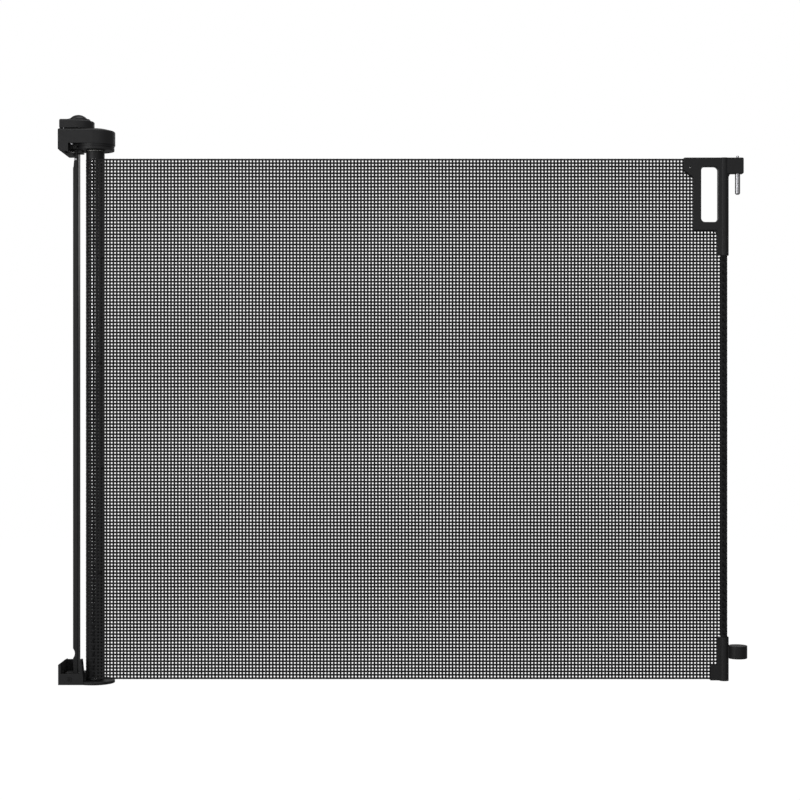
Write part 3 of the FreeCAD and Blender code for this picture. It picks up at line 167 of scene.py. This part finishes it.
class Surface:
    """A material under construction around one Principled shader."""

    def __init__(self, name: str) -> None:
        """Starts a material of the given name."""
        self.material = bpy.data.materials.new(name)
        self.material.use_nodes = True
        self.tree = self.material.node_tree
        self.shader = self.tree.nodes["Principled BSDF"]
        self.place = self.tree.nodes.new("ShaderNodeTexCoord").outputs["Object"]

    def node(
        self, kind: str, settings: dict[str, Any] | None = None, **sockets: Any
    ) -> bpy.types.Node:
        """Adds a node.

        Args:
            kind: The node's type.
            settings: Properties that are set first.
            **sockets: Values or links of its inputs, with spaces written as underscores.

        Returns:
            The node.
        """
        made = self.tree.nodes.new(kind)
        for name, value in (settings or {}).items():
            setattr(made, name, value)
        for name, value in sockets.items():
            self.feed(made.inputs[name.replace("_", " ")], value)
        return made

    def feed(self, slot: bpy.types.NodeSocket, value: Any) -> None:
        """Links or sets one input.

        Args:
            slot: The input.
            value: A channel, an output socket or a plain value.
        """
        if isinstance(value, Channel):
            self.tree.links.new(value.socket, slot)
        elif isinstance(value, bpy.types.NodeSocket):
            self.tree.links.new(value, slot)
        else:
            slot.default_value = value

    def noise(
        self, grain: float, stretch: Sequence[float] = (1, 1, 1), detail: float = 2.0
    ) -> Channel:
        """A cloudy pattern from 0 to 1 whose patches are about `grain` metres across.

        Args:
            grain: Size of the patches.
            stretch: How many times longer they are along each axis.
            detail: Octaves of finer pattern.

        Returns:
            The pattern.
        """
        scale = [1 / (grain * part) for part in stretch]
        mapped = self.node("ShaderNodeMapping", Vector=self.place, Scale=scale)
        cloud = self.node("ShaderNodeTexNoise", Vector=mapped.outputs[0], Scale=1.0, Detail=detail)
        return Channel(self.tree, cloud.outputs["Fac"])

    def tint(self, low: Sequence[float], high: Sequence[float], share: Channel) -> None:
        """Colours the surface between two colours.

        Args:
            low: Colour where the share is 0.
            high: Colour where the share is 1.
            share: The pattern that chooses between them.
        """
        mix = self.node("ShaderNodeMix", {"data_type": "RGBA"})
        self.feed(mix.inputs["Factor"], share)
        self.feed(mix.inputs[6], (*low, 1.0))
        self.feed(mix.inputs[7], (*high, 1.0))
        self.feed(self.shader.inputs["Base Color"], mix.outputs[2])

    def relief(self, height: Channel, depth: float) -> None:
        """Roughens the surface.

        Args:
            height: The pattern that stands up.
            depth: Its height in metres.
        """
        bump = self.node("ShaderNodeBump", Strength=1.0, Distance=depth, Height=height)
        self.feed(self.shader.inputs["Normal"], bump.outputs[0])

    def constants(self, **values: Any) -> None:
        """Sets shader inputs that are the same all over the surface."""
        for name, value in values.items():
            self.shader.inputs[name.replace("_", " ")].default_value = value


# ------------------------------------------------------------------------- finishes


@dataclass(frozen=True)
class Moulding:
    """Moulded plastic: a fine satin grain with faint flow marks."""

    name: str
    colour: tuple[float, float, float]
    roughness: float
    grain: float = 0.0007
    grain_depth: float = 0.00003
    shine: float = 0.28

    def make(self) -> bpy.types.Material:
        """Builds the material."""
        surface = Surface(self.name)
        cloud = surface.noise(0.012, detail=3.0)
        flow = surface.noise(0.0035, stretch=(1, 1, 7))
        fine = surface.noise(self.grain)
        mark = 0.5 * cloud + 0.3 * flow + 0.2 * fine
        low = [part * 0.72 for part in self.colour]
        high = [part * 1.32 for part in self.colour]
        surface.tint(low, high, mark)
        surface.feed(surface.shader.inputs["Roughness"], self.roughness - 0.08 + 0.16 * mark)
        surface.relief(fine + 0.4 * flow, self.grain_depth)
        surface.constants(Specular_IOR_Level=self.shine)
        return surface.material


@dataclass(frozen=True)
class PowderCoat:
    """Powder-coated aluminium with a slight orange peel."""

    name: str
    colour: tuple[float, float, float]

    def make(self) -> bpy.types.Material:
        """Builds the material."""
        surface = Surface(self.name)
        peel = surface.noise(0.0014)
        long_marks = surface.noise(0.003, stretch=(1, 1, 25))
        low = [part * 0.8 for part in self.colour]
        high = [part * 1.25 for part in self.colour]
        surface.tint(low, high, 0.6 * long_marks + 0.4 * peel)
        surface.feed(surface.shader.inputs["Roughness"], 0.4 + 0.14 * long_marks)
        surface.relief(peel, 0.00004)
        surface.constants(Specular_IOR_Level=0.3)
        return surface.material


@dataclass(frozen=True)
class Yarn:
    """Coated polyester yarn: twisted filaments under a thin matt skin."""

    name: str
    colour: tuple[float, float, float]

    def make(self) -> bpy.types.Material:
        """Builds the material."""
        surface = Surface(self.name)
        filament = surface.noise(0.00035, stretch=(1, 1, 3), detail=1.0)
        wear = surface.noise(0.05, detail=3.0)
        low = [part * 0.75 for part in self.colour]
        high = [part * 1.4 for part in self.colour]
        surface.tint(low, high, 0.55 * filament + 0.45 * wear)
        surface.feed(surface.shader.inputs["Roughness"], 0.62 + 0.18 * filament)
        surface.relief(filament, 0.00005)
        surface.constants(Specular_IOR_Level=0.22, Sheen_Weight=0.04, Sheen_Roughness=0.5)
        return surface.material


@dataclass(frozen=True)
class Metal:
    """Bare or plated metal with fine drawing marks along Z."""

    name: str
    colour: tuple[float, float, float]
    roughness: float
    metallic: float = 1.0

    def make(self) -> bpy.types.Material:
        """Builds the material."""
        surface = Surface(self.name)
        drawn = surface.noise(0.0004, stretch=(1, 1, 30))
        stain = surface.noise(0.006, detail=3.0)
        low = [part * 0.82 for part in self.colour]
        high = [min(part * 1.1, 1) for part in self.colour]
        surface.tint(low, high, 0.5 * drawn + 0.5 * stain)
        surface.feed(surface.shader.inputs["Roughness"], self.roughness - 0.06 + 0.14 * drawn)
        surface.relief(drawn, 0.00001)
        surface.constants(Metallic=self.metallic)
        return surface.material


class Finish(Enum):
    """The gate's finishes: the value makes it, and the name in lower case is its slot."""

    MATTE_BLACK = Moulding("matte_black_moulding", (0.0125, 0.0125, 0.0132), 0.5)
    GLOSS_BLACK = Moulding(
        "gloss_black_moulding", (0.011, 0.011, 0.012), 0.42, grain_depth=0.00001, shine=0.3
    )
    COATED_POST = PowderCoat("coated_post", (0.008, 0.008, 0.0085))
    MESH_CLOTH = Yarn("net_yarn", (0.0115, 0.0115, 0.0122))
    STEEL = Metal("plated_steel", (0.46, 0.46, 0.48), 0.32)
    TUBE_ALLOY = Metal("pale_tube", (0.9, 0.9, 0.91), 0.42)
    ACETAL = Moulding("acetal", (0.6, 0.6, 0.57), 0.4, shine=0.5)

    @property
    def slot(self) -> str:
        """The record's material slot."""
        return self.name.lower()


class Paint:
    """Makes each finish once and puts it on pieces."""

    def __init__(self) -> None:
        """Builds every finish."""
        self.made = {finish: finish.value.make() for finish in Finish}

    def coat(self, piece: bpy.types.Object, finish: Finish) -> None:
        """Gives a piece its finish, in every material slot it has."""
        materials = piece.data.materials
        for slot in range(len(materials)):
            materials[slot] = self.made[finish]
        if not len(materials):
            materials.append(self.made[finish])


# ------------------------------------------------------------------------- woven net


@dataclass(frozen=True)
class Weave:
    """A plain weave of flat yarns with square holes, in metres; flare is a share of the width."""

    pitch: float = 0.0051364
    yarn: float = 0.00295
    thick: float = 0.00056
    swing: float = 0.00019
    flare: float = 0.08

    def run(
        self, along: np.ndarray, across: np.ndarray, sign: float
    ) -> tuple[np.ndarray, np.ndarray]:
        """Width and lift of yarns at their stations.

        The lift is a cosine of the distance along the yarn, one half wave to each crossing, and its
        sign changes from one yarn to the next. The width is greatest at the crossings.

        Args:
            along: Distance of each station from the first crossing, in pitches.
            across: Number of each yarn.
            sign: 1 for the upright yarns, -1 for the level ones.

        Returns:
            Half the width and the lift, each of shape (yarns, stations).
        """
        wave = np.cos(np.pi * (along[None, :] + across[:, None]))
        half = 0.5 * self.yarn * (1 + self.flare * (2 * np.abs(wave) - 1))
        return half, sign * self.swing * wave


@dataclass(frozen=True)
class Patch:
    """A rectangle of net: columns of upright yarns and rows of level yarns."""

    start: float
    low: float
    columns: int
    rows: int
    pitch: float
    first_column: int = 0
    first_row: int = 0


CORNERS = 4


def yarn_faces(yarns: int, stations: int) -> np.ndarray:
    """Faces of closed yarns of four-sided section: sides, then a cap at each end.

    Args:
        yarns: How many yarns.
        stations: Sections along each.

    Returns:
        Quads as vertex numbers, for vertices in the order (yarn, station, corner).
    """
    yarn, step, corner = np.meshgrid(
        np.arange(yarns), np.arange(stations - 1), np.arange(CORNERS), indexing="ij"
    )
    base = (yarn * stations + step) * CORNERS
    ahead = base + CORNERS
    following = (corner + 1) % CORNERS
    sides = np.stack([base + corner, base + following, ahead + following, ahead + corner], axis=-1)
    first = np.arange(yarns)[:, None] * stations * CORNERS
    start = first + np.arange(CORNERS)[::-1]
    end = first + (stations - 1) * CORNERS + np.arange(CORNERS)
    return np.concatenate([sides.reshape(-1, CORNERS), start, end])


def woven(
    weave: Weave, patch: Patch, keep: Test | None = None
) -> tuple[np.ndarray, np.ndarray]:
    """A flat net as points (across, out of the cloth, up) and quads.

    Upright yarn i stands at start + i pitches and level yarn j lies at low + j pitches. Each yarn's
    section is a flat diamond, half its width to each side and half its thickness to each face.

    Args:
        weave: Yarn sizes.
        patch: Where the net lies and how many yarns it has.
        keep: Tells for points (across, up) whether a yarn may be there. Yarns end, without a
            cap, where it is false.

    Returns:
        Points of shape (n, 3) and faces of shape (m, 4).
    """
    points, faces, count = [], [], 0
    for upright in (True, False):
        counts, numbering = (patch.columns, patch.rows), (patch.first_column, patch.first_row)
        yarns, crossings = counts if upright else counts[::-1]
        first, other = numbering if upright else numbering[::-1]
        along = np.arange(2 * crossings - 1) / 2
        numbers = np.arange(yarns)
        half, lift = weave.run(along + other, numbers + first, 1.0 if upright else -1.0)
        side = np.array([-1.0, 0.0, 1.0, 0.0])
        face = np.array([0.0, -1.0, 0.0, 1.0]) * (1.0 if upright else -1.0)
        middle = (numbers * patch.pitch)[:, None, None]
        reach = (along * patch.pitch)[None, :, None]
        sideways = middle + half[:, :, None] * side
        outward = lift[:, :, None] + 0.5 * weave.thick * face
        lengthways = np.broadcast_to(reach, sideways.shape)
        columns = (sideways, outward, lengthways) if upright else (lengthways, outward, sideways)
        grid = np.stack(columns, axis=-1) + np.array([patch.start, 0.0, patch.low])
        quads = yarn_faces(yarns, len(along))
        if keep is not None:
            middles = grid.reshape(-1, CORNERS, 3).mean(axis=1)
            good = keep(middles[:, 0], middles[:, 2])
            quads = quads[good[quads // CORNERS].all(axis=1)]
        points.append(grid.reshape(-1, 3))
        faces.append(quads + count)
        count += grid.size // 3
    return np.concatenate(points), np.concatenate(faces)


def new_piece(name: str, points: np.ndarray, faces: np.ndarray) -> bpy.types.Object:
    """Makes a flat-shaded mesh object whose place is in its mesh.

    Args:
        name: The piece's name.
        points: Vertices of shape (n, 3).
        faces: Quads of shape (m, 4).

    Returns:
        The object, linked to the scene.
    """
    used = np.unique(faces)
    number = np.full(len(points), -1)
    number[used] = np.arange(len(used))
    mesh = bpy.data.meshes.new(name)
    mesh.vertices.add(len(used))
    mesh.vertices.foreach_set("co", points[used].astype(np.float32).ravel())
    mesh.loops.add(faces.size)
    mesh.loops.foreach_set("vertex_index", number[faces].astype(np.int32).ravel())
    mesh.polygons.add(len(faces))
    mesh.polygons.foreach_set("loop_start", np.arange(0, faces.size, CORNERS, dtype=np.int32))
    mesh.polygons.foreach_set("use_smooth", np.full(len(faces), False))
    mesh.update(calc_edges=True)
    mesh.validate()
    piece = bpy.data.objects.new(name, mesh)
    bpy.context.scene.collection.objects.link(piece)
    return piece


def joined(parts: Sequence[tuple[np.ndarray, np.ndarray]]) -> tuple[np.ndarray, np.ndarray]:
    """Puts several meshes' points and faces into one."""
    starts = np.cumsum([0] + [len(points) for points, _ in parts[:-1]])
    faces = np.concatenate([quads + start for (_, quads), start in zip(parts, starts)])
    return np.concatenate([points for points, _ in parts]), faces


@dataclass(frozen=True)
class Layer:
    """One turn of net on the roller.

    Its upright yarns are `stretch` times as far apart as in the drawn-out net and its level yarns
    `rise` times, and it starts `start` pitches above the net's lowest yarn, so that the holes of
    two turns line up in some places and cover each other in others.
    """

    radius: float
    stretch: float
    rise: float
    start: float


@dataclass(frozen=True)
class Cutout:
    """Where the net is cut round the handle and the fitting, from the corners of their boxes."""

    grip: float = 0.0145
    ear_low: float = 0.0187
    ear_foot: float = 0.0303
    grip_low: float = 0.1102
    toe_top: float = 0.0239
    flange: float = 0.0108
    tuck: float = 0.0042


@dataclass(frozen=True)
class Hem:
    """Two turns of net round the pull bar, at these distances from the bar's face."""

    inner: float = 0.0003
    outer: float = 0.00055
    end: float = 0.002
    outer_phase: float = 0.4


@dataclass
class Net:
    """The net: drawn out flat, wound on the roller and sewn round the pull bar."""

    paint: Paint
    travel: float
    weave: Weave = field(default_factory=Weave)
    bands: int = 5
    squashed: float = 0.003
    layers: tuple[Layer, ...] = (
        Layer(radius=0.01405, stretch=1.07, rise=1.0, start=0.0),
        Layer(radius=0.01325, stretch=1.014, rise=1.005, start=0.455),
    )
    first_yarn: float = math.radians(2.35)
    beyond: int = 2
    lead: float = 0.0039
    edge_share: float = 0.9
    cutout: Cutout = field(default_factory=Cutout)
    hem_sizes: Hem = field(default_factory=Hem)

    def __post_init__(self) -> None:
        """Reads the cloth's place from the frame."""
        first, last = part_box("mesh_panel_01"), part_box("mesh_panel_11")
        self.start, self.end = first[0][0], last[1][0]
        self.low, self.top = first[0][2], first[1][2]
        self.plane = (first[0][1] + first[1][1]) / 2
        self.tall = self.top - self.low
        half = self.weave.yarn * (1 + self.weave.flare) / 2
        self.rows = round((self.tall - 2 * half) / self.weave.pitch) + 1
        self.row_pitch = (self.tall - 2 * half) / (self.rows - 1)
        self.base = self.low + half
        self.first = self.start + self.lead
        self.pitch = self.weave.pitch
        self.columns = math.floor((self.end - self.first) / self.pitch) + 1
        self.wound = math.floor((self.travel - self.lead) / self.pitch)

    def flat(
        self, name: str, first_column: int, columns: int, first_row: int, rows: int,
        keep: Test | None = None,
    ) -> bpy.types.Object:
        """A stretch of the drawn-out net.

        Args:
            name: The piece's name.
            first_column: Number of its first upright yarn.
            columns: How many upright yarns it has.
            first_row: Number of its first level yarn.
            rows: How many level yarns it has.
            keep: Tells where yarns may be.

        Returns:
            The piece.
        """
        patch = Patch(
            start=self.first + first_column * self.pitch,
            low=self.base + first_row * self.row_pitch,
            columns=columns,
            rows=rows,
            pitch=self.pitch,
            first_column=first_column,
            first_row=first_row,
        )
        points, faces = woven(self.weave, patch, keep)
        points[:, 2] = patch.low + (points[:, 2] - patch.low) * self.row_pitch / self.pitch
        points[:, 1] += self.plane
        piece = new_piece(name, points, faces)
        self.paint.coat(piece, Finish.MESH_CLOTH)
        LOG.info("%s: %d faces", name, len(faces))
        return piece

    def drawn_out(self) -> None:
        """The net between the roller and the last strip, in bands fixed to the frame."""
        nodes = [f"mesh_panel_{number:02d}" for number in range(1, 11)]
        share = math.ceil((self.rows - 1) / self.bands)
        for band in range(self.bands):
            first = band * share
            rows = min(share, self.rows - 1 - first) + 1
            piece = self.flat(f"net_band_{band + 1}", 0, self.wound + 1, first, rows)
            tall = (rows - 1) * self.row_pitch + self.weave.yarn
            self.wound * self.pitch
            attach(piece, FRAME_BODY)
            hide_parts(*nodes)
            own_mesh(piece)

    def last_strip(self) -> None:
        """The strip beside the pull bar, cut round the handle and the lower fitting."""
        handle, toe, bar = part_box("handle_front"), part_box("lower_fitting_front"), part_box("pull_bar")
        cut = self.cutout
        ear, grip = handle[0][0], handle[0][0] + cut.grip
        ear_low, ear_foot = handle[1][2] - cut.ear_low, handle[1][2] - cut.ear_foot
        grip_low, toe_top = handle[1][2] - cut.grip_low, toe[0][2] + cut.toe_top
        flange = (bar[0][0] + bar[1][0]) / 2 - cut.flange

        def clear(across: np.ndarray, up: np.ndarray) -> np.ndarray:
            """True outside the handle and the fitting and just inside, where they clamp the net."""
            slope = ear + (ear_low - up) * (grip - ear) / (ear_low - ear_foot)
            left = np.where(up > ear_low, ear, np.where(up > ear_foot, slope, grip))
            at_handle = (up > grip_low + cut.tuck) & (across > left + cut.tuck)
            at_toe = (up < toe_top - cut.tuck) & (across > toe[0][0] + cut.tuck)
            at_flange = ((up > handle[0][2]) | (up < toe[1][2])) & (across > flange + cut.tuck)
            return ~(at_handle | at_toe | at_flange)

        columns = self.columns - self.wound + self.beyond
        piece = self.flat("net_edge", self.wound, columns, 0, self.rows, clear)
        wide = columns * self.pitch
        self.edge_share * wide * self.tall
        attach(piece, BAR_BODY)
        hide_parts("mesh_panel_11")

    def wrapped(
        self, radius: float, centre: Sequence[float], span: tuple[float, float], pitch: float,
        rise: float = 1.0, phase: float = 0.0,
    ) -> tuple[np.ndarray, np.ndarray]:
        """A net wrapped once round a vertical axis: across becomes the arc and outward the radius.

        Args:
            radius: Radius of the wrapped cloth's middle.
            centre: X and Y of the axis.
            span: Lowest and highest level yarn.
            pitch: Arc between upright yarns.
            rise: How many times the level yarns' own pitch they are apart.
            phase: Angle from the front to the first upright yarn.

        Returns:
            Points and faces.
        """
        turn = 2 * math.pi
        columns = round(turn * radius / pitch) + 1
        step = turn * radius / (columns - 1)
        level = self.row_pitch * rise
        rows = int((span[1] - span[0]) / level) + 1
        points, faces = woven(self.weave, Patch(0.0, 0.0, columns, rows, step))
        angle = points[:, 0] / radius + phase
        out = radius - points[:, 1]
        up = span[0] + points[:, 2] * level / step
        across, deep = centre[0] - out * np.sin(angle), centre[1] - out * np.cos(angle)
        return np.stack([across, deep, up], axis=1), faces

    def round_piece(self, name: str, parts: Sequence[tuple[np.ndarray, np.ndarray]], body: str,
                    node: str) -> None:
        """Makes a piece of wrapped nets that stands for a node and rides on a body."""
        piece = new_piece(name, *joined(parts))
        self.paint.coat(piece, Finish.MESH_CLOTH)
        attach(piece, body)
        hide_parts(node)

    def wound_roll(self) -> None:
        """The last turns on the roller, whose holes line up only over part of its height."""
        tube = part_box("roller_tube")
        centre = ((tube[0][0] + tube[1][0]) / 2, (tube[0][1] + tube[1][1]) / 2)
        high = self.top - self.weave.yarn / 2
        parts = [
            self.wrapped(layer.radius, centre, (self.base + layer.start * self.row_pitch, high),
                         self.pitch * layer.stretch, layer.rise, self.first_yarn)
            for layer in self.layers
        ]
        self.round_piece("net_on_roller", parts, ROLLER_BODY, "mesh_roll")

    def hem(self) -> None:
        """The hem sewn round the pull bar: two turns whose holes are half a pitch apart."""
        bar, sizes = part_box("pull_bar"), self.hem_sizes
        centre = ((bar[0][0] + bar[1][0]) / 2, (bar[0][1] + bar[1][1]) / 2)
        radius = (bar[1][0] - bar[0][0]) / 2
        low, high = bar[0][2] + sizes.end, bar[1][2] - sizes.end
        raised = (low + self.row_pitch / 2, high)
        parts = [
            self.wrapped(radius + sizes.inner, centre, (low, high), self.pitch),
            self.wrapped(radius + sizes.outer, centre, raised, self.pitch, phase=sizes.outer_phase),
        ]
        self.round_piece("net_hem", parts, BAR_BODY, "mesh_hem")

    def build(self) -> None:
        """Builds the whole net."""
        self.drawn_out()
        self.last_strip()
        self.wound_roll()
        self.hem()


# ------------------------------------------------------------------------- designed parts


@dataclass(frozen=True)
class DesignedParts:
    """The parts that keep their designed shapes: each gets the finish its slot names."""

    paint: Paint

    def build(self, frame: dict[str, Any]) -> None:
        """Coats every node.
        """
        by_slot = {finish.slot: finish for finish in Finish}
        for entry in frame["record"]["subparts"]:
            self.paint.coat(frame["nodes"][entry["node"]], by_slot[entry["material_slot"]])
            LOG.info("%s: %s", entry["node"], entry["material_slot"])


# ------------------------------------------------------------------------- studio


@dataclass(frozen=True)
class Lamp:
    """A square soft light: where it hangs, its power in watts and its side in metres."""

    name: str
    place: tuple[float, float, float]
    power: float
    size: float


@dataclass(frozen=True)
class Studio:
    """A white room: a pale floor under the gate, soft lights and the camera."""

    camera_across: float = 0.5155
    camera_up: float = 0.411
    camera_away: float = 2.6
    lens: float = 77.25
    sensor: float = 36.0
    floor_drop: float = 0.025
    floor_size: float = 6.0
    ambient: float = 0.2
    floor_glow: float = 0.2
    middle: tuple[float, float, float] = (0.5, 0.0, 0.45)
    lamps: tuple[Lamp, ...] = (
        Lamp("key_light", (-1.6, -2.2, 0.7), 36.0, 1.6),
        Lamp("fill_light", (1.2, -3.2, 0.3), 18.0, 1.8),
        Lamp("top_light", (0.5, -0.4, 2.4), 26.0, 1.6),
        Lamp("back_light", (0.6, 2.4, 1.5), 10.0, 1.6),
    )

    def floor(self) -> None:
        """A pale floor that stays even under the lights, white only to the camera."""
        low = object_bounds()[0]
        half = self.floor_size / 2
        level = low[2] - self.floor_drop
        corners = np.array([[-half, -half, level], [half, -half, level], [half, half, level],
                            [-half, half, level]]) + np.array([self.camera_across, 0.0, 0.0])
        floor = new_piece("studio_floor", corners, np.array([[0, 1, 2, 3]]))
        surface = Surface("pale_floor")
        path = surface.node("ShaderNodeLightPath")
        seen = Channel(surface.tree, path.outputs["Is Camera Ray"])
        glow = self.floor_glow + (1.0 - self.floor_glow) * seen
        surface.feed(surface.shader.inputs["Emission Strength"], glow)
        surface.constants(Base_Color=(0.02, 0.02, 0.02, 1), Roughness=1.0, Specular_IOR_Level=0.0,
                          Emission_Color=(1, 1, 1, 1))
        floor.data.materials.append(surface.material)
        floor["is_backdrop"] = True

    def world(self) -> None:
        """A white surround that lights softly."""
        world = bpy.data.worlds.new("white_room")
        world.use_nodes = True
        tree = world.node_tree
        seen, light = tree.nodes["Background"], tree.nodes.new("ShaderNodeBackground")
        seen.inputs["Color"].default_value = light.inputs["Color"].default_value = (1, 1, 1, 1)
        seen.inputs["Strength"].default_value = 1.0
        light.inputs["Strength"].default_value = self.ambient
        mix, path = tree.nodes.new("ShaderNodeMixShader"), tree.nodes.new("ShaderNodeLightPath")
        tree.links.new(path.outputs["Is Camera Ray"], mix.inputs[0])
        tree.links.new(light.outputs[0], mix.inputs[1])
        tree.links.new(seen.outputs[0], mix.inputs[2])
        tree.links.new(mix.outputs[0], tree.nodes["World Output"].inputs["Surface"])
        bpy.context.scene.world = world
        bpy.context.scene.view_settings.view_transform = "Standard"

    def light(self, lamp: Lamp) -> None:
        """Hangs a lamp that faces the gate's middle."""
        data = bpy.data.lights.new(lamp.name, "AREA")
        data.energy, data.size = lamp.power, lamp.size
        hung = bpy.data.objects.new(lamp.name, data)
        hung.location = lamp.place
        aim = np.subtract(self.middle, lamp.place)
        yaw = math.atan2(aim[1], aim[0]) - math.pi / 2
        pitch = math.atan2(aim[2], math.hypot(aim[0], aim[1])) + math.pi / 2
        hung.rotation_euler = (pitch, 0.0, yaw)
        bpy.context.scene.collection.objects.link(hung)

    def camera(self) -> None:
        """The camera, level and square to the gate."""
        data = bpy.data.cameras.new("camera")
        data.lens, data.sensor_width = self.lens, self.sensor
        camera = bpy.data.objects.new("camera", data)
        plane = (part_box("mesh_panel_01")[0][1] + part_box("mesh_panel_01")[1][1]) / 2
        camera.location = (self.camera_across, plane - self.camera_away, self.camera_up)
        camera.rotation_euler = (math.pi / 2, 0.0, 0.0)
        bpy.context.scene.collection.objects.link(camera)
        bpy.context.scene.camera = camera

    def build(self) -> None:
        """Sets up the whole studio."""
        self.floor()
        self.world()
        for lamp in self.lamps:
            self.light(lamp)
        self.camera()


def main() -> None:
    """Builds the gate's looks around its frame."""
    logging.basicConfig(level=logging.INFO, format="%(message)s")
    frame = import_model()
    paint = Paint()
    DesignedParts(paint).build(frame)
    slide = next(joint for joint in frame["joints"] if joint["name"] == SLIDE)
    Net(paint, max(map(abs, slide["range_m"]))).build()
    Studio().build()


if __name__ == "__main__":
    main()
